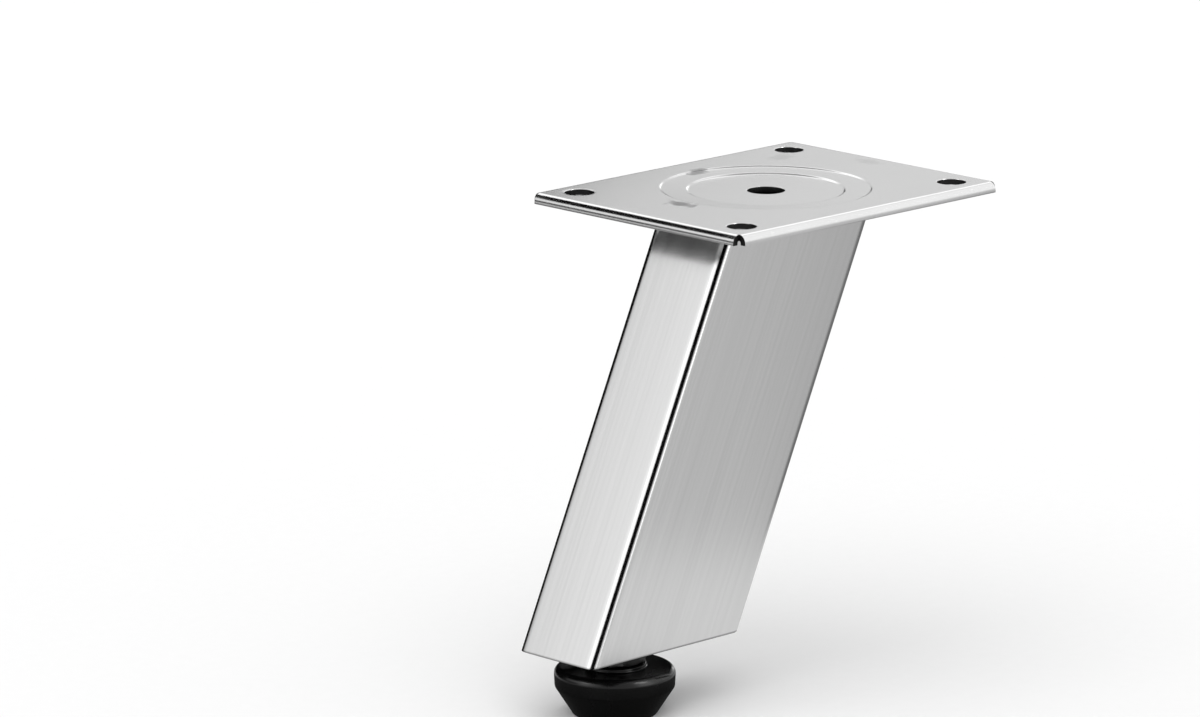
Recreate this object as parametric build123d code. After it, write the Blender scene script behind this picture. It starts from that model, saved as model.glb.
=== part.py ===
"""Slanted furniture leg: pressed mounting plate, folded box-section leg and a screw-in levelling foot.

The frame: +Z is up, the origin is the centre of the mounting plate's top face, X runs along the
plate's long side and Y across it. The leg leans towards -X on its way down to the foot.
"""

import os
from math import cos, pi, radians, tan

from build123d import *

# Overall size and lean
overall_height = 120.0  # top face of the mounting plate down to the floor
lean_angle = 25.0  # between the leg's long edges and the vertical, in degrees
leg_top_x = 2.5  # where the leg's centre line meets the plate's top face

# Mounting plate, pressed from stainless sheet
plate_length = 90.0
plate_width = 70.0
plate_sheet = 1.5
rim_height = 2.5  # from the top face to the lower edge of the turned-down rim
rim_bend_inside = 0.5
hole_spacing_x = 72.0
hole_spacing_y = 54.0
screw_hole_diameter = 7.0
centre_hole_diameter = 9.0  # clears an M8 bolt
hole_edge_break = 0.25  # edge pressed in by the punch, all round each hole
recess_diameter = 51.0
recess_depth = 0.8  # from the top face to the floor of the recess
recess_floor_diameter = 37.0
recess_step_depth = 0.3  # first step, at the edge of the recess
recess_ring_fall = 0.15  # dishing of the ring between the first step and the second
press_wall_angle = 35.0  # slope of both steps, in degrees
press_radius = 0.5  # bends at the edge of the recess and round its floor

# Leg, folded from stainless sheet to a rectangular box section and cut level at both ends
leg_depth = 50.0  # along X, measured on the level cut
leg_width = 25.0  # along Y
leg_sheet = 1.0
leg_bend_inside = 0.6  # inside radius of the four long edges
leg_end_height = 16.5  # lower end of the leg above the floor
recess_trim = 1.0  # the leg's upper edge is cut away this much wider than the recess

# End plate, welded inside the leg's lower end
end_plate_sheet = 2.0
end_plate_inset = 4.0  # lower face of the end plate above the leg's lower end
end_plate_gap = 0.1  # to the walls of the leg, all round

# Levelling foot
foot_x = -50.7
thread_diameter = 8.0
thread_pitch = 1.25
thread_clearance = 0.05  # radial, between the stud and the nut
nut_across_flats = 13.0
nut_height = 6.5
nut_chamfer = 0.6
stud_hole_clearance = 0.5  # radial, between the stud and the end plate
stud_thread_length = 25.0  # above the hexagon
stud_tip_chamfer = 1.0
hexagon_across_flats = 13.0
hexagon_height = 2.6
hexagon_chamfer = 0.4
pivot_diameter = 7.0  # plain neck of the stud that the pad turns on
pivot_clearance = 0.1  # radial and axial play of the pad on the stud
rivet_head_diameter = 11.0
rivet_head_height = 1.8
rivet_head_chamfer = 0.9
pad_diameter = 29.0  # at its widest, just below the bevelled rim
pad_height = 11.5
pad_draft_angle = 3.0  # the side draws in towards the floor, in degrees
pad_rim_bevel = 1.5  # upper edge of the pad, at 45 degrees
pad_side_height = 4.8  # top of the pad down to where the lower bevel starts
pad_bevel_width = 4.3
pad_hub_diameter = 15.0
pad_hub_height = 1.0
pad_hub_chamfer = 0.4
pad_web = 4.0  # thickness of the web that the stud is riveted through
pad_well_diameter = 13.0

# Travel of the levelling foot from the height shown
turns_in = 2.0
turns_out = 8.0

# Places that follow from the sizes above
floor_z = -overall_height
leg_end_z = floor_z + leg_end_height
lean_slope = tan(radians(lean_angle))
rim_bend_outside = rim_bend_inside + plate_sheet
recess_under_grow = plate_sheet * tan(radians(press_wall_angle) / 2)  # keeps the sheet's thickness
end_plate_z = leg_end_z + end_plate_inset
nut_z = end_plate_z + end_plate_sheet
pad_top_z = floor_z + pad_height
hub_top_z = pad_top_z + pad_hub_height
web_under_z = hub_top_z - pad_web
hexagon_z = hub_top_z + pivot_clearance
thread_z = hexagon_z + hexagon_height
through = 50.0  # longer than any sheet is thick, for tools that cut right through


def leg_centre_x(z):
    """X of the leg's centre line at a height."""
    return leg_top_x + lean_slope * z


def leaning_prism(length, width, corner_radius, z_low, z_high):
    """Solid of the leg's section between two heights, leaning as the leg does."""
    section = RectangleRounded(length, width, corner_radius)
    lean = Vector(lean_slope, 0, 1)
    rise = z_high - z_low
    base = Pos(leg_centre_x(z_low), 0, z_low) * section
    return extrude(base, amount=rise * lean.length, dir=lean)


def recess_block(z_top, grow):
    """Turned block of the stepped recess, from z_top down by its depth, with its radii grown."""
    wall_run = 1 / tan(radians(press_wall_angle))
    edge_radius = recess_diameter / 2 + grow
    floor_radius = recess_floor_diameter / 2 + grow
    ring_inner_depth = recess_step_depth + recess_ring_fall
    outline = Polyline(
        (0, z_top),
        (edge_radius, z_top),
        (edge_radius - recess_step_depth * wall_run, z_top - recess_step_depth),
        (floor_radius + (recess_depth - ring_inner_depth) * wall_run, z_top - ring_inner_depth),
        (floor_radius, z_top - recess_depth),
        (0, z_top - recess_depth),
        close=True,
    )
    return revolve(Plane.XZ * make_face(outline), Axis.Z)


def round_edges(solid, z, diameter):
    """The solid's round edges of one diameter at height z."""
    edges = solid.edges().filter_by(GeomType.CIRCLE)
    return [e for e in edges if abs(e.radius - diameter / 2) < 0.05 and abs(e.center().Z - z) < 0.05]


def make_mounting_plate():
    """Pressed plate: flat top, rim turned down all round, open corners, round recess and holes."""
    tray = Pos(0, 0, -rim_height / 2) * Box(plate_length, plate_width, rim_height)
    tray = fillet(tray.faces().sort_by(Axis.Z)[-1].edges(), rim_bend_outside)
    inside = Box(plate_length - 2 * plate_sheet, plate_width - 2 * plate_sheet, rim_height)
    inside = Pos(0, 0, -plate_sheet - rim_height / 2) * inside
    inside = fillet(inside.faces().sort_by(Axis.Z)[-1].edges(), rim_bend_inside)
    plate = tray - inside

    # corner reliefs: the bend has no material at the corners, so each stands open
    corners = GridLocations(plate_length - rim_bend_outside, plate_width - rim_bend_outside, 2, 2)
    notch = Box(rim_bend_outside, rim_bend_outside, through)
    plate -= [corner * notch for corner in corners]

    plate += recess_block(-plate_sheet, recess_under_grow)
    plate -= recess_block(0, 0)
    plate = fillet(round_edges(plate, 0, recess_diameter), press_radius)
    plate = fillet(round_edges(plate, -recess_depth, recess_floor_diameter), press_radius)

    plate -= Cylinder(centre_hole_diameter / 2, through)
    screw_hole = Cylinder(screw_hole_diameter / 2, through)
    plate -= [place * screw_hole for place in GridLocations(hole_spacing_x, hole_spacing_y, 2, 2)]
    plate = chamfer(round_edges(plate, 0, screw_hole_diameter), hole_edge_break)
    return chamfer(round_edges(plate, -recess_depth, centre_hole_diameter), hole_edge_break)


def make_leg_shell():
    """Box-section leg: its upper edge meets the plate's underside and clears the recess."""
    z_top = -plate_sheet
    outside = leaning_prism(leg_depth, leg_width, leg_bend_inside + leg_sheet, leg_end_z, z_top)
    # the inside runs past both ends so that they stay open
    inside = leaning_prism(
        leg_depth - 2 * leg_sheet / cos(radians(lean_angle)),
        leg_width - 2 * leg_sheet,
        leg_bend_inside,
        leg_end_z - through,
        z_top + through,
    )
    return outside - inside - recess_block(z_top, recess_under_grow + recess_trim)


def make_end_plate():
    """Sheet plate across the inside of the leg, bored for the stud."""
    plate = leaning_prism(
        leg_depth - 2 * (leg_sheet + end_plate_gap) / cos(radians(lean_angle)),
        leg_width - 2 * (leg_sheet + end_plate_gap),
        leg_bend_inside,
        end_plate_z,
        end_plate_z + end_plate_sheet,
    )
    hole_radius = thread_diameter / 2 + stud_hole_clearance
    return plate - Pos(foot_x, 0, end_plate_z) * Cylinder(hole_radius, through)


def hexagon_prism(across_flats, height, chamfered):
    """Hexagon on the XY plane with its corners turned off at the ends that are chamfered."""
    flats_radius = across_flats / 2
    corner_radius = flats_radius / cos(pi / 6)
    prism = extrude(RegularPolygon(flats_radius, 6, major_radius=False), amount=height)
    turned = Pos(0, 0, height / 2) * Cylinder(corner_radius, height)
    turned = chamfer(turned.edges().filter_by(GeomType.CIRCLE), chamfered)
    return prism & turned


def make_weld_nut():
    """Hexagon nut welded on the end plate."""
    nut = hexagon_prism(nut_across_flats, nut_height, nut_chamfer)
    nut -= Cylinder(thread_diameter / 2 + thread_clearance, through)
    return Pos(foot_x, 0, nut_z) * nut


def make_levelling_stud():
    """Threaded stud with a spanner hexagon, a plain neck and a riveted head below the pad's web."""
    shank = Pos(0, 0, thread_z + stud_thread_length / 2) * Cylinder(thread_diameter / 2, stud_thread_length)
    shank = chamfer(shank.edges().sort_by(Axis.Z)[-1], stud_tip_chamfer)
    hexagon = Pos(0, 0, hexagon_z) * hexagon_prism(hexagon_across_flats, hexagon_height, hexagon_chamfer)
    neck_end_z = web_under_z - pivot_clearance
    neck_length = hexagon_z - neck_end_z
    neck = Pos(0, 0, neck_end_z + neck_length / 2) * Cylinder(pivot_diameter / 2, neck_length)
    head_middle_z = neck_end_z - rivet_head_height / 2
    head = Pos(0, 0, head_middle_z) * Cylinder(rivet_head_diameter / 2, rivet_head_height)
    head = chamfer(head.edges().sort_by(Axis.Z)[0], rivet_head_chamfer)
    return Pos(foot_x, 0, 0) * (shank + hexagon + neck + head)


def make_foot_pad():
    """Moulded round pad: bevelled rim and lower edge, low hub and a well for the rivet head."""
    rim_radius = pad_diameter / 2
    rim_z = pad_top_z - pad_rim_bevel
    bevel_z = pad_top_z - pad_side_height
    side_radius = rim_radius - (rim_z - bevel_z) * tan(radians(pad_draft_angle))
    base_radius = side_radius - pad_bevel_width
    hub_radius = pad_hub_diameter / 2
    outline = Polyline(
        (0, floor_z),
        (base_radius, floor_z),
        (side_radius, bevel_z),
        (rim_radius, rim_z),
        (rim_radius - pad_rim_bevel, pad_top_z),
        (hub_radius, pad_top_z),
        (hub_radius, hub_top_z - pad_hub_chamfer),
        (hub_radius - pad_hub_chamfer, hub_top_z),
        (0, hub_top_z),
        close=True,
    )
    pad = revolve(Plane.XZ * make_face(outline), Axis.Z)
    pad -= Pos(0, 0, web_under_z - through / 2) * Cylinder(pad_well_diameter / 2, through)
    pad -= Pos(0, 0, web_under_z) * Cylinder(pivot_diameter / 2 + pivot_clearance, through)
    return Pos(foot_x, 0, 0) * pad


def main():
    nodes = {
        "mounting_plate": make_mounting_plate(),
        "leg_shell": make_leg_shell(),
        "end_plate": make_end_plate(),
        "weld_nut": make_weld_nut(),
        "levelling_stud": make_levelling_stud(),
        "foot_pad": make_foot_pad(),
    }
    os.makedirs("parts", exist_ok=True)
    for name, shape in nodes.items():
        export_step(shape, f"parts/{name}.step")
        box = shape.bounding_box()
        print(f"{name}: {box.size.X:.2f} x {box.size.Y:.2f} x {box.size.Z:.2f} mm, {shape.volume:.0f} mm3")
    print(f"foot travel: {turns_in * thread_pitch:.2f} mm in, {turns_out * thread_pitch:.2f} mm out")


main()
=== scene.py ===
import math

import bmesh
import bpy
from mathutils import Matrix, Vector


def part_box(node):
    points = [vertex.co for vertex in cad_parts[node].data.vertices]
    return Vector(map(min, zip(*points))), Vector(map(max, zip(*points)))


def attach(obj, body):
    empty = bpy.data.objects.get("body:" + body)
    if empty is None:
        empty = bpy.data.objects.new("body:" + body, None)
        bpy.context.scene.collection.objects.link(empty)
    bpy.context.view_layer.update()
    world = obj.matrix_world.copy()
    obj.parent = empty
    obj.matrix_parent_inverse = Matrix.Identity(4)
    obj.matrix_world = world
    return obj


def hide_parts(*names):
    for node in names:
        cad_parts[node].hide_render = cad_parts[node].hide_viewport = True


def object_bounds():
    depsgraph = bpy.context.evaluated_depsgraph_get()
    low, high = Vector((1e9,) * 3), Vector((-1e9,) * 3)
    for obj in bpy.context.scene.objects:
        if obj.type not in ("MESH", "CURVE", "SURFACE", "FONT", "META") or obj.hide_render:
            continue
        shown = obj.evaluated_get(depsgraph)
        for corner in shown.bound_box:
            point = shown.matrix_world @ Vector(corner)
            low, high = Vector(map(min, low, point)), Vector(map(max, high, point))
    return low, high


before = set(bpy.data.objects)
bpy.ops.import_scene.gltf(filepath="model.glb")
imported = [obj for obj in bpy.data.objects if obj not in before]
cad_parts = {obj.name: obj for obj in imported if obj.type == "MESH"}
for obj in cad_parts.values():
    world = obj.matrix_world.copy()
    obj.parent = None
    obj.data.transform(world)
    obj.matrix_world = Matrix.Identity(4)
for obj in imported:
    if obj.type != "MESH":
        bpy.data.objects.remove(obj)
cadLow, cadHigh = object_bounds()
print("frame loaded:", sorted(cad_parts))

mm = 0.001
scene = bpy.context.scene
scene.view_settings.view_transform = "Standard"
scene.view_settings.look = "None"

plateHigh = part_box("mounting_plate")[1]
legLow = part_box("leg_shell")[0]
studLow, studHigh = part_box("levelling_stud")
padLow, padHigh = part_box("foot_pad")
footX = (padLow[0] + padHigh[0]) / 2
leanSlope = math.tan(math.radians(25))   # the leg leans 25 degrees


# camera, at the photo's angle

cameraSet = {
    "azimuth": -46.0,       # degrees, 0 looks along +Y
    "elevation": 13.7,
    "distance": 1.685,
    "lens": 210.0,          # millimetres on a 36 mm sensor
    "aim": (0.0, 0.0, -56 * mm),
    "aimRightOfCentre": 39.7 * mm,   # where the aim point lies in the picture
    "aimBelowCentre": 13.3 * mm,
}


def makeCamera(s):
    a, e = math.radians(s["azimuth"]), math.radians(s["elevation"])
    back = Vector((math.sin(a) * math.cos(e), -math.cos(a) * math.cos(e), math.sin(e)))
    right = Vector((math.cos(a), math.sin(a), 0))
    up = back.cross(right)
    aim = Vector(s["aim"])
    lookAt = aim - right * s["aimRightOfCentre"] + up * s["aimBelowCentre"]
    data = bpy.data.cameras.new("photoCamera")
    data.lens = s["lens"]
    data.sensor_width = 36
    data.clip_start, data.clip_end = 0.05, 50
    cam = bpy.data.objects.new("photoCamera", data)
    scene.collection.objects.link(cam)
    cam.location = aim + back * s["distance"]
    cam.rotation_mode = "QUATERNION"
    cam.rotation_quaternion = (lookAt - cam.location).to_track_quat("-Z", "Y")
    scene.camera = cam


makeCamera(cameraSet)
print("camera done")


# small helpers for shader nodes

def newGroup(name, inputs, outputs):
    g = bpy.data.node_groups.new(name, "ShaderNodeTree")
    for title, kind, default in inputs:
        s = g.interface.new_socket(title, in_out="INPUT", socket_type=kind)
        if default is not None:
            s.default_value = default
    for title, kind in outputs:
        g.interface.new_socket(title, in_out="OUTPUT", socket_type=kind)
    return g, g.nodes.new("NodeGroupInput"), g.nodes.new("NodeGroupOutput")


def addNode(tree, kind, values=None, **settings):
    n = tree.nodes.new(kind)
    for k, v in settings.items():
        setattr(n, k, v)
    for k, v in (values or {}).items():
        n.inputs[k].default_value = v
    return n


def wire(tree, *pairs):
    for a, b in pairs:
        tree.links.new(a, b)


def math2(tree, op, a, b, clamp=False):
    n = addNode(tree, "ShaderNodeMath", operation=op, use_clamp=clamp)
    for i, v in enumerate((a, b)):
        if isinstance(v, (int, float)):
            n.inputs[i].default_value = v
        else:
            tree.links.new(v, n.inputs[i])
    return n.outputs[0]


def useGroup(tree, group, values=None):
    n = tree.nodes.new("ShaderNodeGroup")
    n.node_tree = group
    for k, v in (values or {}).items():
        n.inputs[k].default_value = v
    return n


def spread(tree, source, low, high, fromLow=0.3, fromHigh=0.7, smooth=False):
    n = addNode(tree, "ShaderNodeMapRange",
                {"From Min": fromLow, "From Max": fromHigh, "To Min": low, "To Max": high},
                interpolation_type="SMOOTHSTEP" if smooth else "LINEAR")
    wire(tree, (source, n.inputs["Value"]))
    return n.outputs[0]


def grey(tree, value):
    n = addNode(tree, "ShaderNodeCombineColor")
    wire(tree, (value, n.inputs[0]), (value, n.inputs[1]), (value, n.inputs[2]))
    return n.outputs[0]


def darkened(tree, tone, mask):
    return math2(tree, "MULTIPLY", tone, math2(tree, "SUBTRACT", 1.0, mask))


def blendTo(tree, level, mask, value):
    mix = addNode(tree, "ShaderNodeMix", {3: value})
    wire(tree, (mask, mix.inputs[0]), (level, mix.inputs[2]))
    return mix.outputs[0]


def addBump(tree, shader, height, strength):
    n = addNode(tree, "ShaderNodeBump", {"Strength": strength, "Distance": 0.1 * mm})
    wire(tree, (height, n.inputs["Height"]), (n.outputs[0], shader.inputs["Normal"]))


# a piece's own coordinates, whole and as x, y and z
def objectPlace(tree):
    where = addNode(tree, "ShaderNodeTexCoord").outputs["Object"]
    parts = addNode(tree, "ShaderNodeSeparateXYZ")
    wire(tree, (where, parts.inputs[0]))
    return where, parts.outputs


def newMaterial(name):
    m = bpy.data.materials.new(name)
    m.use_nodes = True
    m.node_tree.nodes.clear()
    out = m.node_tree.nodes.new("ShaderNodeOutputMaterial")
    shader = m.node_tree.nodes.new("ShaderNodeBsdfPrincipled")
    wire(m.node_tree, (shader.outputs[0], out.inputs["Surface"]))
    return m, m.node_tree, shader


# grain of a brushed sheet: fine lines along one direction, in metres of the frame

def makeBrushGrain():
    g, gi, go = newGroup(
        "brushGrain",
        [("Slope", "NodeSocketFloat", 0.0), ("Across", "NodeSocketFloat", 1300.0),
         ("Along", "NodeSocketFloat", 5.0), ("Streaks", "NodeSocketFloat", 220.0)],
        [("Lines", "NodeSocketFloat"), ("Bands", "NodeSocketFloat")],
    )
    parts = objectPlace(g)[1]
    lean = math2(g, "MULTIPLY", parts["Z"], gi.outputs["Slope"])
    level = math2(g, "SUBTRACT", parts["X"], lean)       # x, as if the leg stood upright

    def stretched(acrossScale, alongScale, detail, rough):
        v = addNode(g, "ShaderNodeCombineXYZ")
        wire(g,
             (math2(g, "MULTIPLY", level, acrossScale), v.inputs["X"]),
             (math2(g, "MULTIPLY", parts["Y"], acrossScale), v.inputs["Y"]),
             (math2(g, "MULTIPLY", parts["Z"], alongScale), v.inputs["Z"]))
        n = addNode(g, "ShaderNodeTexNoise", {"Scale": 1.0, "Detail": detail, "Roughness": rough})
        wire(g, (v.outputs[0], n.inputs["Vector"]))
        return n.outputs["Fac"]

    wire(g,
         (stretched(gi.outputs["Across"], gi.outputs["Along"], 3.0, 0.6), go.inputs["Lines"]),
         (stretched(gi.outputs["Streaks"], 4.0, 2.0, 0.5), go.inputs["Bands"]))
    return g


brushGrain = makeBrushGrain()


# painted shade and grime where faces meet, found by ambient occlusion, and paler edges: wear and a painted
# edge highlight

def makeCreaseShadeAndWear():
    g, gi, go = newGroup(
        "creaseShadeAndWear",
        [("Reach", "NodeSocketFloat", 0.002), ("ShadeAndGrime", "NodeSocketFloat", 0.6),
         ("Speckle", "NodeSocketFloat", 900.0), ("EdgeWidth", "NodeSocketFloat", 0.0003)],
        [("ShadeAndGrime", "NodeSocketFloat"), ("WearAndEdgeLight", "NodeSocketFloat")],
    )
    where = addNode(g, "ShaderNodeTexCoord")
    speckle = addNode(g, "ShaderNodeTexNoise", {"Detail": 4.0, "Roughness": 0.6})
    wire(g, (where.outputs["Object"], speckle.inputs["Vector"]),
         (gi.outputs["Speckle"], speckle.inputs["Scale"]))
    uneven = spread(g, speckle.outputs["Fac"], 0.6, 1.2)
    # ambient occlusion: the less open a place, the darker its colour; painted shade
    closed = addNode(g, "ShaderNodeAmbientOcclusion", samples=8)
    wire(g, (gi.outputs["Reach"], closed.inputs["Distance"]))
    creaseShade = math2(g, "MULTIPLY", math2(g, "SUBTRACT", 1.0, closed.outputs["AO"]), gi.outputs["ShadeAndGrime"])
    # edges found by bevel normals; the finishes lighten them: wear and a painted edge highlight
    rounded = addNode(g, "ShaderNodeBevel", samples=6)
    flat = addNode(g, "ShaderNodeNewGeometry")
    turned = addNode(g, "ShaderNodeVectorMath", operation="DOT_PRODUCT")
    wire(g, (gi.outputs["EdgeWidth"], rounded.inputs["Radius"]),
         (rounded.outputs["Normal"], turned.inputs[0]), (flat.outputs["Normal"], turned.inputs[1]))
    edge = spread(g, turned.outputs["Value"], 0.0, 1.0, 0.995, 0.90)   # cosines of the turn at an edge
    wire(g, (math2(g, "MULTIPLY", creaseShade, uneven, clamp=True), go.inputs["ShadeAndGrime"]),
         (math2(g, "MULTIPLY", edge, uneven, clamp=True), go.inputs["WearAndEdgeLight"]))
    return g


creaseShadeAndWear = makeCreaseShadeAndWear()


legSet = {
    "slope": leanSlope,
    "tone": (0.60, 0.635),
    "bands": (0.97, 1.02),
    "roughness": (0.15, 0.20),
    "bump": 0.002,
    "shadeAndGrime": 0.75,
    "shadeReach": 2.0 * mm,
    "shadeAndGrimeRoughness": 0.3,  # added where the painted shade and grime lie
    "lowerEdgeDark": 0.55,       # darkening of the cut lower edge
    "lowerEdgeFade": (0.2, 0.55),    # millimetres above that edge
}


def makeLegSteel(s):
    m, t, shader = newMaterial("legSteel")
    grain = useGroup(t, brushGrain, {"Slope": s["slope"]})
    shadeMasks = useGroup(t, creaseShadeAndWear, {"Reach": s["shadeReach"], "ShadeAndGrime": s["shadeAndGrime"]})
    tone = math2(t, "MULTIPLY", spread(t, grain.outputs["Lines"], *s["tone"]),
                 spread(t, grain.outputs["Bands"], *s["bands"]))
    # painted shade and grime where faces meet darken the colour
    tone = darkened(t, tone, shadeMasks.outputs["ShadeAndGrime"])
    parts = objectPlace(t)[1]
    # a darker band along the lower end
    fadeFrom, fadeTo = (legLow[2] + up * mm for up in s["lowerEdgeFade"])
    tone = darkened(t, tone, spread(t, parts["Z"], s["lowerEdgeDark"], 0.0, fadeFrom, fadeTo))
    rough = math2(t, "ADD", spread(t, grain.outputs["Bands"], *s["roughness"]),
                  math2(t, "MULTIPLY", shadeMasks.outputs["ShadeAndGrime"], s["shadeAndGrimeRoughness"]))
    wire(t, (grey(t, tone), shader.inputs["Base Color"]), (rough, shader.inputs["Roughness"]))
    shader.inputs["Metallic"].default_value = 1.0
    addBump(t, shader, grain.outputs["Lines"], s["bump"])
    return m


plateSet = {
    "tone": (0.625, 0.65),
    "grain": (0.985, 1.01),
    "roughness": (0.17, 0.22),
    "shadeAndGrime": 0.5,
    "shadeReach": 1.5 * mm,
    "cutFaceShade": 0.03,        # punched and sheared faces, painted near black as shade
    "cutRoughness": 0.3,    # added there
    "markReach": 1.6,       # where a mark has faded out, in squared half sizes
    "markJitter": (0.3, 1.9),
    # dark marks on the top face: x, y, half length, half width in millimetres, angle, darkness
    "marks": [
        (1.7, 24.5, 3.8, 2.0, 20, 0.68),
        (-28.4, 0.3, 4.0, 2.2, 95, 0.78),
        (28.1, 22.1, 4.5, 2.6, 30, 0.16),
        (39.4, 3.3, 4.0, 2.2, 80, 0.14),
    ],
}


def makePlateSteel(s):
    m, t, shader = newMaterial("plateSteel")
    where, parts = objectPlace(t)
    cloud = addNode(t, "ShaderNodeTexNoise", {"Scale": 28.0, "Detail": 2.0})
    fine = addNode(t, "ShaderNodeTexNoise", {"Scale": 1800.0, "Detail": 3.0})
    ragged = addNode(t, "ShaderNodeTexNoise", {"Scale": 420.0, "Detail": 4.0})
    wire(t, *((where, n.inputs["Vector"]) for n in (cloud, fine, ragged)))
    tone = math2(t, "MULTIPLY", spread(t, cloud.outputs["Fac"], *s["tone"]),
                 spread(t, fine.outputs["Fac"], *s["grain"]))
    jitter = spread(t, ragged.outputs["Fac"], *s["markJitter"])
    for x, y, long, wide, angle, dark in s["marks"]:
        c, w = math.cos(math.radians(angle)), math.sin(math.radians(angle))
        dx = math2(t, "SUBTRACT", parts["X"], x * mm)
        dy = math2(t, "SUBTRACT", parts["Y"], y * mm)
        u = math2(t, "ADD", math2(t, "MULTIPLY", dx, c / (long * mm)),
                  math2(t, "MULTIPLY", dy, w / (long * mm)))
        v = math2(t, "SUBTRACT", math2(t, "MULTIPLY", dy, c / (wide * mm)),
                  math2(t, "MULTIPLY", dx, w / (wide * mm)))
        away = math2(t, "ADD", math2(t, "MULTIPLY", u, u), math2(t, "MULTIPLY", v, v))
        spot = spread(t, math2(t, "MULTIPLY", away, jitter), dark, 0.0, 0.0, s["markReach"], smooth=True)
        tone = darkened(t, tone, spot)
    # painted shade and grime where faces meet darken the colour
    shadeMasks = useGroup(t, creaseShadeAndWear, {"Reach": s["shadeReach"], "ShadeAndGrime": s["shadeAndGrime"]})
    tone = darkened(t, tone, shadeMasks.outputs["ShadeAndGrime"])
    cut = addNode(t, "ShaderNodeAttribute", attribute_name="cutFace")
    # painted shade: the cut faces near black
    tone = blendTo(t, tone, cut.outputs["Fac"], s["cutFaceShade"])
    rough = math2(t, "ADD", spread(t, fine.outputs["Fac"], *s["roughness"]),
                  math2(t, "MULTIPLY", cut.outputs["Fac"], s["cutRoughness"]))
    wire(t, (grey(t, tone), shader.inputs["Base Color"]), (rough, shader.inputs["Roughness"]))
    shader.inputs["Metallic"].default_value = 1.0
    return m


zincSet = {
    "tone": (0.40, 0.50),
    "spangle": (0.94, 1.04),
    "roughness": (0.26, 0.40),
    "wearAndEdgeLight": 0.08,
    "shadeAndGrime": 0.9,
    "shadeReach": 3.0 * mm,
    "shadeBelowLeg": 0.8,          # painted shade below the leg's lower end
    "shadeBelowLegFade": (-1.2, -0.2),     # millimetres above the leg's lower end
    "shadeBelowLegUneven": (0.85, 1.1),
}


def makeZinc(s):
    m, t, shader = newMaterial("zincPlating")
    where, parts = objectPlace(t)
    spangle = addNode(t, "ShaderNodeTexVoronoi", {"Scale": 700.0})
    noise = addNode(t, "ShaderNodeTexNoise", {"Scale": 400.0, "Detail": 3.0})
    wire(t, *((where, n.inputs["Vector"]) for n in (spangle, noise)))
    shadeMasks = useGroup(t, creaseShadeAndWear, {"Reach": s["shadeReach"], "ShadeAndGrime": s["shadeAndGrime"]})
    tone = math2(t, "MULTIPLY", spread(t, noise.outputs["Fac"], *s["tone"]),
                 spread(t, spangle.outputs["Distance"], *s["spangle"], 0.0, 0.8))
    # painted shade and grime where faces meet darken the colour
    tone = darkened(t, tone, shadeMasks.outputs["ShadeAndGrime"])
    # paler edges: wear and a painted edge highlight
    tone = math2(t, "ADD", tone, math2(t, "MULTIPLY", shadeMasks.outputs["WearAndEdgeLight"], s["wearAndEdgeLight"]))
    # painted shade: darker below the leg's lower end
    fadeFrom, fadeTo = (legLow[2] + up * mm for up in s["shadeBelowLegFade"])
    below = spread(t, parts["Z"], s["shadeBelowLeg"], 0.0, fadeFrom, fadeTo)
    tone = darkened(t, tone, math2(t, "MULTIPLY", below, spread(t, noise.outputs["Fac"], *s["shadeBelowLegUneven"])))
    wire(t, (grey(t, tone), shader.inputs["Base Color"]),
         (spread(t, noise.outputs["Fac"], *s["roughness"]), shader.inputs["Roughness"]))
    shader.inputs["Metallic"].default_value = 1.0
    return m


plasticSet = {
    "tone": (0.0018, 0.0034),
    "roughness": (0.22, 0.29),
    "specular": 0.38,
    "bump": 0.04,
    "wearAndEdgeLight": 0.004,
}


def makeBlackPlastic(s):
    m, t, shader = newMaterial("blackPlastic")
    where = objectPlace(t)[0]
    noise = addNode(t, "ShaderNodeTexNoise", {"Scale": 2500.0, "Detail": 2.0})
    cloud = addNode(t, "ShaderNodeTexNoise", {"Scale": 120.0, "Detail": 3.0})
    wire(t, *((where, n.inputs["Vector"]) for n in (noise, cloud)))
    shadeMasks = useGroup(t, creaseShadeAndWear)
    # paler edges: wear and a painted edge highlight
    tone = math2(t, "ADD", spread(t, noise.outputs["Fac"], *s["tone"]),
                 math2(t, "MULTIPLY", shadeMasks.outputs["WearAndEdgeLight"], s["wearAndEdgeLight"]))
    wire(t, (grey(t, tone), shader.inputs["Base Color"]),
         (spread(t, cloud.outputs["Fac"], *s["roughness"]), shader.inputs["Roughness"]))
    shader.inputs["Specular IOR Level"].default_value = s["specular"]
    addBump(t, shader, noise.outputs["Fac"], s["bump"])
    return m


legSteel = makeLegSteel(legSet)
plateSteel = makePlateSteel(plateSet)
zincPlating = makeZinc(zincSet)
blackPlastic = makeBlackPlastic(plasticSet)
for name in ("end_plate", "weld_nut"):      # inside the leg, shown as their solids
    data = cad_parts[name].data
    data.materials.clear()
    data.materials.append(zincPlating)
print("finishes done")


# mesh helpers: points are (across, up) in millimetres until a mesh is filled,
# and so are the sizes in the dictionaries of the pieces

weldDistance = 1e-7         # metres, below which two vertices are one


# points of an arc, angles in degrees from the across direction
def cornerArc(centre, radius, fromAngle, toAngle, steps):
    points = []
    for i in range(steps + 1):
        a = math.radians(fromAngle + (toAngle - fromAngle) * i / steps)
        points.append((centre[0] + radius * math.cos(a), centre[1] + radius * math.sin(a)))
    return points


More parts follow.
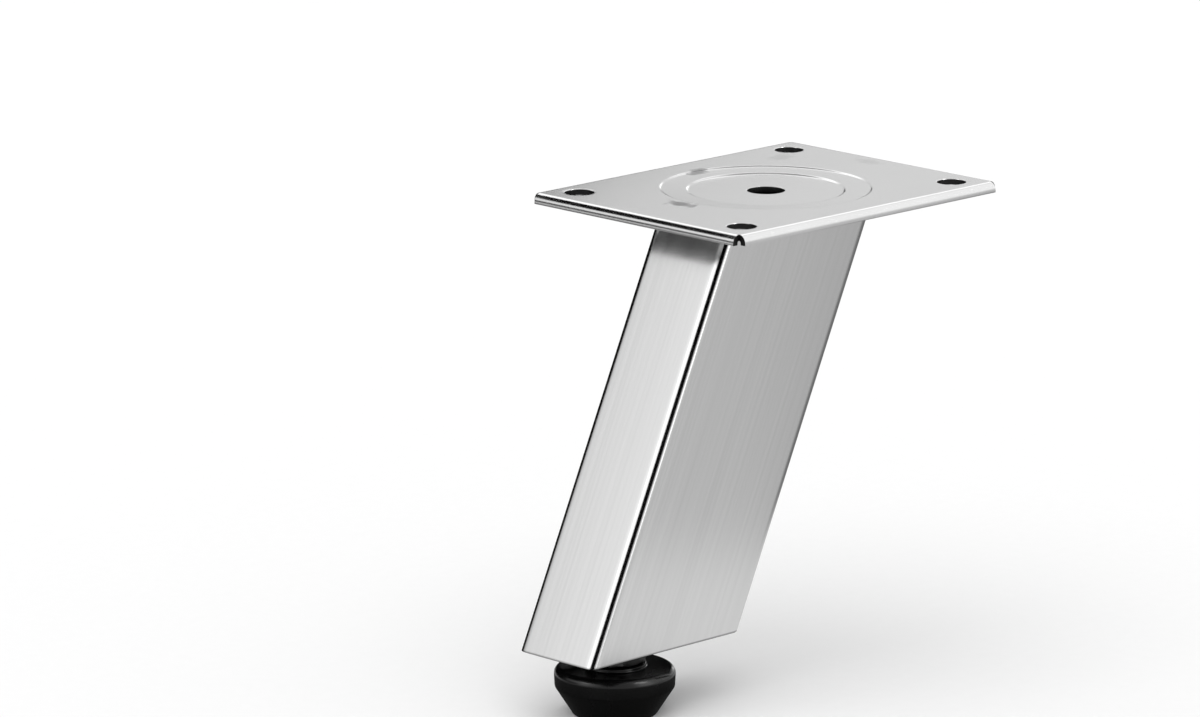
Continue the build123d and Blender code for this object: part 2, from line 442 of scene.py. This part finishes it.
# an open outline with its inner corners rounded; radii has one value for each inner corner
def softened(points, radii, steps=5):
    out = [points[0]]
    for i, r in enumerate(radii, 1):
        a, b, c = (Vector(p) for p in points[i - 1:i + 2])
        if r <= 0:
            out.append(tuple(b))
            continue
        u, v = (a - b).normalized(), (c - b).normalized()
        half = u.angle(v) / 2
        reach = min(r / math.tan(half), (a - b).length * 0.49, (c - b).length * 0.49)
        r = reach * math.tan(half)
        middle = b + (u + v).normalized() * (r / math.sin(half))
        start, end = b + u * reach - middle, b + v * reach - middle
        turn = start.angle_signed(end)
        for k in range(steps + 1):
            w = -turn * k / steps
            out.append((middle.x + start.x * math.cos(w) - start.y * math.sin(w),
                        middle.y + start.x * math.sin(w) + start.y * math.cos(w)))
    out.append(points[-1])
    return out


# a ring of vertices round a vertical axis, with its radius given for each angle
def makeRing(bm, centreX, centreY, z, count, radiusAt):
    ring = []
    for i in range(count):
        a = 2 * math.pi * i / count
        x, y = centreX + radiusAt(a) * math.cos(a), centreY + radiusAt(a) * math.sin(a)
        ring.append(bm.verts.new((x * mm, y * mm, z * mm)))
    return ring


# faces between rings of as many vertices each
def bridge(bm, rings):
    for low, high in zip(rings, rings[1:]):
        for i in range(len(low)):
            j = (i + 1) % len(low)
            bm.faces.new([low[i], low[j], high[j], high[i]])


# turns an open outline of (radius, z) round a vertical axis; a radius of 0 closes at a point
def turn(bm, outline, centreX, centreY, segments):
    rings = []
    for radius, z in outline:
        if radius < 1e-6:
            rings.append([bm.verts.new((centreX * mm, centreY * mm, z * mm))])
        else:
            rings.append(makeRing(bm, centreX, centreY, z, segments, lambda a: radius))
    for low, high in zip(rings, rings[1:]):
        for i in range(segments):
            j = (i + 1) % segments
            quad = [low[i % len(low)], low[j % len(low)], high[j % len(high)], high[i % len(high)]]
            corners = list(dict.fromkeys(quad))
            if len(corners) > 2:
                bm.faces.new(corners)


def finishMesh(bm, name, material, body, node, smoothAngle=32):
    bmesh.ops.remove_doubles(bm, verts=bm.verts, dist=weldDistance)
    bmesh.ops.recalc_face_normals(bm, faces=bm.faces)
    limit = math.radians(smoothAngle)
    for f in bm.faces:
        f.smooth = True
    for e in bm.edges:
        e.smooth = len(e.link_faces) == 2 and e.calc_face_angle() < limit
    openEdges = [e for e in bm.edges if len(e.link_faces) != 2]
    data = bpy.data.meshes.new(name)
    bm.to_mesh(data)
    bm.free()
    data.materials.append(material)
    piece = bpy.data.objects.new(name, data)
    scene.collection.objects.link(piece)
    weigh = piece.modifiers.new("weightedNormals", "WEIGHTED_NORMAL")
    weigh.keep_sharp = True
    weigh.weight = 60
    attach(piece, body)
    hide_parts(node)
    print(f"{name}: {len(data.polygons)} faces, {len(openEdges)} open edges")
    return piece


# mounting plate: one pressed sheet with turned-down rims, a stepped recess and punched holes

pressSet = {
    "sheet": 1.5,
    "rimHeight": 2.5,
    "bendOutside": 2.0,
    "bendInside": 0.5,
    "rimEdge": 0.2,         # rounding of the cut lower edge
    "recessEdge": 25.5,     # radii of the recess
    "recessFloor": 18.5,
    "recessDepth": 0.8,
    "stepDepth": 0.3,
    "ringFall": 0.15,
    "wallAngle": 30,        # degrees
    "pressRadius": 0.8,
    "centreHole": 4.5,
    "screwHole": 3.5,
    "holeEdge": 0.2,
    "holeX": 36.0,
    "holeY": 27.0,
    "underEdge": 0.6,       # rounding below each hole, as a share of the one above
    "recessMargin": 2.0,    # flat ring turned with the recess
    "holeMargin": 1.0,      # and with each screw hole
    "recessSegments": 192,
    "holeSegments": 64,
}


def holePlaces(s):
    return [(x, y) for x in (-s["holeX"], s["holeX"]) for y in (-s["holeY"], s["holeY"])]


# from the edge of the recess inwards to the middle of its floor, below a face at z
def recessOutline(s, z, grow):
    run = 1 / math.tan(math.radians(s["wallAngle"]))
    ringInner = s["stepDepth"] + s["ringFall"]
    edge, floor = s["recessEdge"] + grow, s["recessFloor"] + grow
    return [
        (edge, z),
        (edge - s["stepDepth"] * run, z - s["stepDepth"]),
        (floor + (s["recessDepth"] - ringInner) * run, z - ringInner),
        (floor, z - s["recessDepth"]),
    ]


def makePlate(s):
    bm = bmesh.new()
    grow = s["sheet"] * math.tan(math.radians(s["wallAngle"]) / 2)    # keeps the sheet's thickness
    flat = s["recessEdge"] + s["recessMargin"]
    hole, depth, r = s["centreHole"], s["recessDepth"], s["pressRadius"]
    over, below = s["holeEdge"], s["holeEdge"] * s["underEdge"]
    top = recessOutline(s, 0, 0)
    under = recessOutline(s, -s["sheet"], grow)
    outline = softened(
        [(flat, 0), *top, (hole, -depth), (hole, -depth - s["sheet"]), *reversed(under), (flat, -s["sheet"])],
        [r, r, r, r, over, below, r, r, r, r])
    turn(bm, outline, 0, 0, s["recessSegments"])
    hole = s["screwHole"]
    far = hole + s["holeMargin"]
    outline = softened([(far, 0), (hole, 0), (hole, -s["sheet"]), (far, -s["sheet"])], [over, below], 4)
    for x, y in holePlaces(s):
        turn(bm, outline, x, y, s["holeSegments"])
    makeRims(bm, s)
    bmesh.ops.remove_doubles(bm, verts=bm.verts, dist=weldDistance)
    markCutFaces(bm, s)
    for z in (0, -s["sheet"]):            # the flat faces, filled between their outlines
        around = [e for e in bm.edges
                  if e.is_boundary and all(abs(v.co.z - z * mm) < weldDistance for v in e.verts)]
        bmesh.ops.triangle_fill(bm, use_beauty=True, edges=around, normal=(0, 0, 1))
    return finishMesh(bm, "pressed_mounting_plate", plateSteel, "leg", "mounting_plate")


# the punched and sheared faces, walls of the holes and ends of the rims, are made dull and painted near black
# as shade
def markCutFaces(bm, s, wallReach=0.06, mostCorners=12):
    layer = bm.faces.layers.float.new("cutFace")
    holes = [(x, y, s["screwHole"]) for x, y in holePlaces(s)] + [(0, 0, s["centreHole"])]
    for f in bm.faces:
        f.normal_update()
        c = f.calc_center_median() / mm
        inHole = any(math.hypot(c.x - x, c.y - y) < r + wallReach for x, y, r in holes)
        rimEnd = len(f.verts) > mostCorners      # no other face has so many corners
        f[layer] = 1.0 if rimEnd or (inHole and abs(f.normal.z) < 0.5) else 0.0


def makeRims(bm, s):
    out, sheet, edge = s["bendOutside"], s["sheet"], s["rimEdge"]
    section = cornerArc((0, -out), out, 90, 0, 8)                       # outer bend
    section += cornerArc((out - edge, -s["rimHeight"] + edge), edge, 0, -90, 3)
    section += cornerArc((out - sheet + edge, -s["rimHeight"] + edge), edge, -90, -180, 3)
    section += cornerArc((0, -sheet - s["bendInside"]), s["bendInside"], 0, 90, 5)
    long, wide = plateHigh[0] / mm - out, plateHigh[1] / mm - out     # up to the corner reliefs
    for side in range(4):
        half, away = (wide, long) if side % 2 == 0 else (long, wide)
        a = side * math.pi / 2
        rows = []
        for along in (-half, half):
            row = []
            for across, z in section:
                x, y = away + across, along
                row.append(bm.verts.new(((x * math.cos(a) - y * math.sin(a)) * mm,
                                         (x * math.sin(a) + y * math.cos(a)) * mm, z * mm)))
            rows.append(row)
            bm.faces.new(row)             # cut end of the rim, at the corner relief
        for i in range(len(section) - 1):
            bm.faces.new([rows[0][i], rows[0][i + 1], rows[1][i + 1], rows[1][i]])


makePlate(pressSet)


# leg: folded box section, cut level at both ends

boxSet = {
    "depth": 50.0,
    "width": 25.0,
    "sheet": 1.0,
    "bendInside": 0.6,
    "bendLength": 5.6,      # of each outer corner, tightest in its middle at a radius of 1.8
    "bow": 0.12,            # the narrow sides fall back this much towards their corners
    "topX": 2.5,            # where the centre line meets the plate's top face
    "cutEdge": 0.12,        # the cut ends are just broken
    "recessTrim": 1.0,      # the upper edge is cut away this much wider than the recess
    "narrowFrom": 15.0,     # what lies farther than this from the centre line is on a narrow side
    "bendSteps": 20,
}


# a quarter turn whose bend builds up and fades out, as folded sheet does
# it starts at 0, 0 heading along +x
def easedCorner(length, steps):
    x = y = 0.0
    points = [(x, y)]
    for i in range(steps):
        u = (i + 0.5) / steps
        a = math.pi / 2 * (u - math.sin(2 * math.pi * u) / (2 * math.pi))
        x += math.cos(a) * length / steps
        y += math.sin(a) * length / steps
        points.append((x, y))
    return points


# closed outline of the box from the points of one corner, with its flat sides divided
def boxSection(halfX, halfY, corner, longSteps=24, shortSteps=12):
    reach = corner[-1][0]
    outline = []
    for k, (sx, sy) in enumerate(((1, 1), (-1, 1), (-1, -1), (1, -1))):
        a = math.pi / 2 * (k + 1)                     # heading on the way into this corner
        c, w = round(math.cos(a)), round(math.sin(a))
        startX, startY = sx * halfX - reach * c, sy * halfY - reach * w
        outline += [(startX + x * c - y * w, startY + x * w + y * c) for x, y in corner]
        ahead = (halfX if k % 2 == 0 else halfY) * 2 - 2 * reach      # flat side after this corner
        steps = longSteps if k % 2 == 0 else shortSteps
        endX, endY = outline[-1]
        outline += [(endX - w * ahead * i / steps, endY + c * ahead * i / steps) for i in range(1, steps)]
    return outline


def makeLeg(s, p):
    bm = bmesh.new()
    lean = 1 / math.cos(math.atan(leanSlope))
    outer = boxSection(s["depth"] / 2, s["width"] / 2, easedCorner(s["bendLength"], s["bendSteps"]))
    inner = boxSection(s["depth"] / 2 - s["sheet"] * lean, s["width"] / 2 - s["sheet"],
                       easedCorner(s["bendInside"] * math.pi / 2, s["bendSteps"]))
    cut = s["cutEdge"]
    bottom = legLow[2] / mm
    grow = p["sheet"] * math.tan(math.radians(p["wallAngle"]) / 2) + s["recessTrim"]
    seat = recessOutline(p, -p["sheet"], grow)

    def upperEdge(x, y):
        # the upper edge follows the underside of the plate and of its recess
        r = math.hypot(x, y)
        if r >= seat[0][0]:
            return seat[0][1]
        for (r1, z1), (r2, z2) in zip(seat, seat[1:]):
            if r >= r2:
                return z1 + (z2 - z1) * (r1 - r) / (r1 - r2)
        return seat[-1][1]

    def ring(section, z, shrink=0.0):
        row = []
        for x, y in section:
            if abs(x) > s["narrowFrom"]:
                x -= math.copysign(s["bow"] * (2 * y / s["width"]) ** 2, x)
            level = z
            if z is None:                 # up to the plate, in a few rounds, since the leg leans
                level = -p["sheet"]
                for _ in range(6):
                    level = upperEdge(s["topX"] + leanSlope * level + x, y)
            pull = 1 - shrink / math.hypot(x, y)
            across = s["topX"] + leanSlope * level + x * pull
            row.append(bm.verts.new((across * mm, y * pull * mm, level * mm)))
        return row

    rings = [
        ring(outer, None),
        ring(outer, bottom + cut),
        ring(outer, bottom, cut),
        ring(inner, bottom, -cut),
        ring(inner, bottom + cut),
        ring(inner, None),
    ]
    bridge(bm, [*rings, rings[0]])
    return finishMesh(bm, "brushed_box_leg", legSteel, "leg", "leg_shell")


makeLeg(boxSet, pressSet)


# levelling stud: rolled thread, spanner hexagon, plain neck and riveted end

studSet = {
    "radius": 4.0,
    "pitch": 1.25,
    "threadDepth": 0.72,
    "threadLength": 25.0,
    "root": 0.12,           # share of half a pitch that is flat at the root
    "flank": 0.70,          # and that slopes up to the crest
    "flankRound": 0.35,     # 0 for straight flanks
    "runOut": 0.8,          # the lowest turn fills up over this height
    "runOutFill": 0.3,
    "tip": 1.0,
    "turnSteps": 48,
    "pitchSteps": 14,
    "hexFlats": 13.0,
    "hexHeight": 2.6,
    "hexEdge": 0.15,        # the chamfer starts this far inside the flats
    "hexChamfer": (0.4, 0.2),   # outwards and down
    "neck": 3.5,
    "headRadius": 5.5,
    "headHeight": 1.8,
    "headEdges": (0.1, 0.3, 0.85),  # rounding at the neck, above and below
}


# radius of the right-hand thread at a height and an angle, run out at both ends
def threadRadius(s, z, angle, low, high):
    phase = (z / s["pitch"] - angle / (2 * math.pi)) % 1.0
    tooth = abs(phase * 2 - 1)                       # 0 at the root, 1 at the crest
    straight = min(1.0, max(0.0, (tooth - s["root"]) / s["flank"]))
    curved = straight * straight * (3 - 2 * straight)
    shape = straight + (curved - straight) * s["flankRound"]
    r = s["radius"] - s["threadDepth"] + s["threadDepth"] * shape
    r = min(r, s["radius"] - s["tip"] + (high - z))   # turned-off tip
    fill = max(0.0, 1 - (z - low) / s["runOut"]) * s["runOutFill"]
    return min(s["radius"], r + s["threadDepth"] * fill)


def makeStud(s):
    bm = bmesh.new()
    top = studHigh[2] / mm
    low = top - s["threadLength"]
    hexLow = low - s["hexHeight"]
    headLow = studLow[2] / mm
    headHigh = headLow + s["headHeight"]
    rows = int(s["threadLength"] / s["pitch"] * s["pitchSteps"])
    rings = []
    for i in range(rows + 1):
        z = low + s["threadLength"] * i / rows
        rings.append(makeRing(bm, footX / mm, 0, z, s["turnSteps"],
                              lambda a: threadRadius(s, z, a, low, top)))
    bridge(bm, rings)
    bm.faces.new(rings[-1])                          # end of the thread
    addHexagon(bm, s, rings[0], hexLow, low)
    outline = softened(
        [(s["neck"], hexLow), (s["neck"], headHigh), (s["headRadius"], headHigh),
         (s["headRadius"], headLow), (0, headLow)], s["headEdges"])
    turn(bm, outline, footX / mm, 0, s["turnSteps"])
    return finishMesh(bm, "threaded_stud", zincPlating, "stud", "levelling_stud")


# spanner hexagon with its corners turned off, joined to the thread above and the neck below
def addHexagon(bm, s, threadRing, low, high):
    flat = s["hexFlats"] / 2
    corner = flat / math.cos(math.pi / 6)
    turned = flat - s["hexEdge"]
    out, down = s["hexChamfer"]
    full = (corner - turned) * 0.5                    # from here on the corners are whole

    def ring(z, limit):
        def radiusAt(a):
            return min(flat / math.cos(a % (math.pi / 3) - math.pi / 6), limit)
        return makeRing(bm, footX / mm, 0, z, s["turnSteps"], radiusAt)

    bridge(bm, [
        threadRing,
        ring(high, turned),
        ring(high - down, turned + out),
        ring(high - full, corner),
        ring(low + full, corner),
        ring(low + down, turned + out),
        ring(low, turned),
        ring(low, s["neck"]),
    ])


makeStud(studSet)


# foot pad: moulded, with rounded edges, a low hub and a well for the riveted end

padSet = {
    "radius": 14.5,
    "rim": 1.8,             # edge rounding at the top
    "rimBevel": 1.5,
    "draft": 3.0,           # degrees
    "sideHeight": 4.8,
    "bevelWidth": 4.3,
    "bevelRound": 1.0,
    "baseRound": 0.7,
    "hub": 7.5,
    "hubHeight": 1.0,
    "hubRound": 0.4,
    "web": 4.0,
    "well": 6.5,
    "wellRound": (0.3, 0.2),    # at its mouth and at its top
    "bore": 3.6,
    "boreRound": 0.15,
    "height": 11.5,
    "roundSteps": 9,
    "segments": 160,
}


def makePad(s):
    bm = bmesh.new()
    floor = padLow[2] / mm
    top = floor + s["height"]
    hubTop = top + s["hubHeight"]
    slope = math.tan(math.radians(s["draft"]))
    side = s["radius"] - (s["sideHeight"] - s["rimBevel"]) * slope
    wellTop = hubTop - s["web"]
    outline = softened(
        [(s["bore"], (hubTop + wellTop) / 2), (s["bore"], hubTop), (s["hub"], hubTop), (s["hub"], top),
         (s["radius"] + s["rimBevel"] * slope, top), (side, top - s["sideHeight"]),
         (side - s["bevelWidth"], floor), (s["well"], floor), (s["well"], wellTop),
         (s["bore"], wellTop), (s["bore"], (hubTop + wellTop) / 2)],
        [s["boreRound"], s["hubRound"], s["hubRound"], s["rim"], s["bevelRound"], s["baseRound"],
         *s["wellRound"], s["boreRound"]], s["roundSteps"])
    turn(bm, outline, footX / mm, 0, s["segments"])
    return finishMesh(bm, "moulded_foot_pad", blackPlastic, "pad", "foot_pad", 40)


makePad(padSet)
print("pieces done")


# floor and light: a white paper floor, soft light from above, and cards that only show in reflections

stageSet = {
    "floorHalf": 6.0,
    "floorTone": 0.82,
    "floorReflected": 0.75,     # brightness of the floor that only reflections show
    "floorReflectedAt": (-0.03, 0.0),
    "floorReflectedDrop": 0.5 * mm,     # below the floor itself
    "worldLight": 0.86,
    "worldReflected": 0.70,
    "lampLight": 1.25,
    "lampTowards": (0.35, 0.2, -1.0),
    "lampSpread": 60,       # degrees
}
# azimuth (0 at -Y, 90 at +X), elevation, half width, half height and softness in degrees, brightness
reflectionCards = [
    ("back", 134, 10, 26, 15, 6, 0.84),
    ("backLeft", -105, 26, 35, 16, 13, 1.44),
    ("rimDark", -132, 0, 24, 12, 4, 0.03),
    ("backEdge", 140, 36, 28, 9, 4, 1.8),
    ("backDark", -172, -2, 16, 12, 5, 0.10),
    ("ceiling", 0, 90, 200, 22, 6, 0.80),
    ("backHigh", 134, 57, 30, 9, 3, 0.36),
    ("recessLeft", 118, 6, 7, 8, 4, 2.4),
    ("left", -104, 26, 12, 26, 6, 2.0),
    ("frontRight", 18, 0, 17, 40, 7, 2.6),
    ("right", 72, 32, 36, 26, 9, 1.32),
    ("rimLeft", -110, 42, 9, 8, 4, 7.0),
    ("rimRight", 22, 48, 8, 9, 4, 12.0),
]
# azimuth, half width and softness in degrees, brightness
floorCards = [
    ("right", 84, 32, 6, 0.24),
    ("back", 180, 40, 8, 0.40),
]
# places on the reflected floor: x, y, radius and softness in metres, brightness
floorPatches = [
    (-0.02, 0.0, 0.13, 0.03, 0.80),       # round the leg
    (0.02, -0.08, 0.065, 0.045, 0.97),    # under the wide face
    (-0.235, 0.22, 0.08, 0.04, 0.02),     # seen in the plate's underside
    (-0.40, 0.36, 0.10, 0.04, 0.08),      # seen in the plate's left rim
    (-0.0507, 0.0, 0.056, 0.016, 0.05),   # contact shadow round the foot
]


def makePlane(name, corners, material):
    bm = bmesh.new()
    bm.faces.new([bm.verts.new(c) for c in corners])
    data = bpy.data.meshes.new(name)
    bm.to_mesh(data)
    bm.free()
    data.materials.append(material)
    plane = bpy.data.objects.new(name, data)
    scene.collection.objects.link(plane)
    return plane


def squareCorners(half, z):
    return [(-half, -half, z), (half, -half, z), (half, half, z), (-half, half, z)]


def onlyInReflections(thing):
    thing.visible_camera = False
    thing.visible_diffuse = False
    thing.visible_transmission = False
    thing.visible_volume_scatter = False
    thing.visible_shadow = False


# mask of a soft-edged band round a middle value, for angles in degrees
def makeSoftBand():
    g, gi, go = newGroup(
        "softBand",
        [("Angle", "NodeSocketFloat", 0.0), ("Middle", "NodeSocketFloat", 0.0),
         ("Half", "NodeSocketFloat", 20.0), ("Soft", "NodeSocketFloat", 8.0)],
        [("Mask", "NodeSocketFloat")],
    )
    away = math2(g, "SUBTRACT", gi.outputs["Angle"], gi.outputs["Middle"])
    wrap = addNode(g, "ShaderNodeMath", operation="WRAP")
    wire(g, (away, wrap.inputs[0]))
    wrap.inputs[1].default_value, wrap.inputs[2].default_value = 180, -180
    size = math2(g, "ABSOLUTE", wrap.outputs[0], 0)
    ramp = addNode(g, "ShaderNodeMapRange", {"To Min": 1.0, "To Max": 0.0}, interpolation_type="SMOOTHSTEP")
    wire(g, (size, ramp.inputs["Value"]),
         (math2(g, "SUBTRACT", gi.outputs["Half"], gi.outputs["Soft"]), ramp.inputs["From Min"]),
         (math2(g, "ADD", gi.outputs["Half"], gi.outputs["Soft"]), ramp.inputs["From Max"]),
         (ramp.outputs[0], go.inputs["Mask"]))
    return g


softBand = makeSoftBand()


def azimuthOf(tree, parts):
    turned = math2(tree, "ARCTAN2", parts["X"], math2(tree, "MULTIPLY", parts["Y"], -1))
    return math2(tree, "MULTIPLY", turned, 180 / math.pi)


def bandMask(tree, angle, middle, half, soft):
    band = useGroup(tree, softBand, {"Middle": middle, "Half": half, "Soft": soft})
    wire(tree, (angle, band.inputs["Angle"]))
    return band.outputs[0]


def makeWorld(s, cards):
    world = bpy.data.worlds.new("studio")
    world.use_nodes = True
    scene.world = world
    t = world.node_tree
    background = t.nodes["Background"]
    background.inputs["Strength"].default_value = 1.0
    where = addNode(t, "ShaderNodeTexCoord")
    parts = addNode(t, "ShaderNodeSeparateXYZ")
    wire(t, (where.outputs["Generated"], parts.inputs[0]))
    azimuth = azimuthOf(t, parts.outputs)
    elevation = math2(t, "MULTIPLY", math2(t, "ARCSINE", parts.outputs["Z"], 0), 180 / math.pi)
    level = addNode(t, "ShaderNodeValue").outputs[0]
    level.default_value = s["worldReflected"]
    for name, az, el, halfWide, halfHigh, soft, bright in cards:
        mask = math2(t, "MULTIPLY", bandMask(t, azimuth, az, halfWide, soft),
                     bandMask(t, elevation, el, halfHigh, soft))
        level = blendTo(t, level, mask, bright)
    path = addNode(t, "ShaderNodeLightPath")
    soft = blendTo(t, level, math2(t, "SUBTRACT", 1.0, path.outputs["Is Glossy Ray"]), s["worldLight"])
    wire(t, (grey(t, soft), background.inputs["Color"]))


def makeFloor(s):
    m, t, shader = newMaterial("floorPaper")
    where = addNode(t, "ShaderNodeTexCoord")
    fibre = addNode(t, "ShaderNodeTexNoise", {"Scale": 300.0, "Detail": 3.0})
    wire(t, (where.outputs["Object"], fibre.inputs["Vector"]),
         (grey(t, spread(t, fibre.outputs["Fac"], s["floorTone"] - 0.004, s["floorTone"] + 0.004)),
          shader.inputs["Base Color"]))
    shader.inputs["Roughness"].default_value = 0.9
    shader.inputs["Specular IOR Level"].default_value = 0.0
    floor = makePlane("studioFloor", squareCorners(s["floorHalf"], cadLow.z), m)
    floor.visible_glossy = False


# the floor as the metal sees it: light near the foot, darker to the sides
def makeReflectedFloor(s, cards, patches):
    m = bpy.data.materials.new("reflectedFloor")
    m.use_nodes = True
    t = m.node_tree
    t.nodes.clear()
    out, glow = addNode(t, "ShaderNodeOutputMaterial"), addNode(t, "ShaderNodeEmission")
    where, parts = objectPlace(t)
    azimuth = azimuthOf(t, parts)
    level = addNode(t, "ShaderNodeValue").outputs[0]
    level.default_value = s["floorReflected"]
    for name, az, half, soft, bright in cards:
        level = blendTo(t, level, bandMask(t, azimuth, az, half, soft), bright)
    middleX, middleY = s["floorReflectedAt"]
    for x, y, radius, soft, bright in patches:
        away = addNode(t, "ShaderNodeVectorMath", {1: (x - middleX, y - middleY, 0)}, operation="DISTANCE")
        wire(t, (where, away.inputs[0]))
        spot = spread(t, away.outputs["Value"], 1.0, 0.0, radius - soft, radius + soft, smooth=True)
        level = blendTo(t, level, spot, bright)
    wire(t, (grey(t, level), glow.inputs["Color"]), (glow.outputs[0], out.inputs["Surface"]))
    floor = makePlane("reflectedFloor", squareCorners(s["floorHalf"], 0), m)
    floor.location = (middleX, middleY, cadLow.z - s["floorReflectedDrop"])
    onlyInReflections(floor)


# black cards close to the piece, which draw the dark lines along its edges
blackFlags = {
    # before the leg's front edge and its back edge
    "flagEdge": [(-0.081, -0.0136, -0.104), (-0.0737, -0.0212, -0.104),
                 (-0.0256, -0.0212, -0.001), (-0.0329, -0.0136, -0.001)],
    "flagBackEdge": [(-0.0757, 0.0203, -0.106), (-0.0657, 0.0185, -0.106),
                     (-0.0168, 0.0185, -0.001), (-0.0268, 0.0203, -0.001)],
    # over the plate's left rim
    "flagAbove": [(-0.060, -0.020, 0.015), (-0.040, -0.020, 0.015),
                  (-0.040, 0.052, 0.015), (-0.060, 0.052, 0.015)],
    # behind the leg
    "flagBehind": [(-0.17, 0.25, -0.12), (0.40, 0.25, -0.12), (0.40, 0.25, 0.0),
                   (0.20, 0.25, 0.05), (0.10, 0.25, 0.09), (-0.17, 0.25, 0.09)],
    # before the hexagon
    "flagFoot": [(-0.05, -0.0145, -0.1085), (-0.03, -0.0145, -0.1085),
                 (-0.03, -0.0145, -0.1045), (-0.05, -0.0145, -0.1045)],
}


def makeBlackFlags(flags):
    m, t, shader = newMaterial("blackFlag")
    shader.inputs["Base Color"].default_value = (0.002, 0.002, 0.002, 1)
    shader.inputs["Specular IOR Level"].default_value = 0.0
    for name, corners in flags.items():
        onlyInReflections(makePlane(name, corners, m))


def makeLamp(s):
    data = bpy.data.lights.new("lampAbove", "SUN")
    data.energy = s["lampLight"]
    data.angle = math.radians(s["lampSpread"])
    lamp = bpy.data.objects.new("lampAbove", data)
    scene.collection.objects.link(lamp)
    lamp.rotation_mode = "QUATERNION"
    lamp.rotation_quaternion = Vector(s["lampTowards"]).to_track_quat("-Z", "Y")
    lamp.visible_glossy = False


makeWorld(stageSet, reflectionCards)
makeFloor(stageSet)
makeReflectedFloor(stageSet, floorCards, floorPatches)
makeBlackFlags(blackFlags)
makeLamp(stageSet)
print("stage done")
